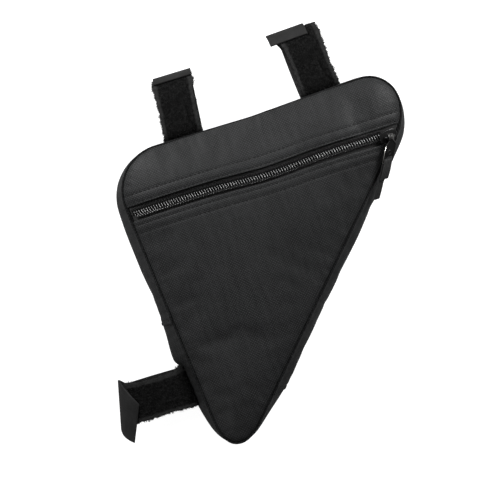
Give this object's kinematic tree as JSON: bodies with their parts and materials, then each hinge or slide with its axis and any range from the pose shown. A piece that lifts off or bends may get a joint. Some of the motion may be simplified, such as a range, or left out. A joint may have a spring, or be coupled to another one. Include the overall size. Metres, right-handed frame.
{
  "type": "bicycle frame bag",
  "caption": "Three-cornered zipped cloth pouch that hangs inside a bicycle frame by hook-and-loop straps.",
  "frame": {"origin": "on the flat of the back panel, where the bag lies, under the middle of its cloth body", "axes": "+X along the zip towards the slider's end, +Y towards the edge that hangs under the top tube, +Z out of the zip face"},
  "size_m": [0.2303, 0.2423, 0.0542],
  "materials": {
    "shell_fabric": "coated oxford weave, matt",
    "gusset_fabric": "coated oxford weave, matt",
    "zip_tape": "woven tape, matt",
    "coil_nylon": "drawn nylon, satin",
    "slider_metal": "black enamel, worn at the edges",
    "pull_webbing": "ribbed webbing",
    "loop_pile": "brushed loop pile",
    "hook_back": "smooth woven tape back"
  },
  "bodies": {
    "bag": {"back_panel": "shell_fabric", "gusset_upper": "gusset_fabric", "gusset_lower": "gusset_fabric", "front_panel_upper": "shell_fabric", "front_panel_lower": "shell_fabric", "zip_tape_upper": "zip_tape", "zip_tape_lower": "zip_tape", "zip_coil": "coil_nylon", "zip_slider": "slider_metal", "strap_rear_loop_tape": "loop_pile", "strap_rear_hook_tape": "hook_back", "strap_front_loop_tape": "loop_pile", "strap_front_hook_tape": "hook_back", "strap_lower_loop_tape": "loop_pile", "strap_lower_hook_tape": "hook_back"},
    "pull": {"pull_tab": "slider_metal", "pull_ribbon": "pull_webbing"}
  },
  "joints": [
    {"name": "pull_hinge", "type": "hinge", "parent": "bag", "child": "pull", "pos_m": [0.08085, 0.05511, 0.05193], "axis": [-0.9642, 0, 0.2652], "range_deg": [0, 165]}
  ]
}
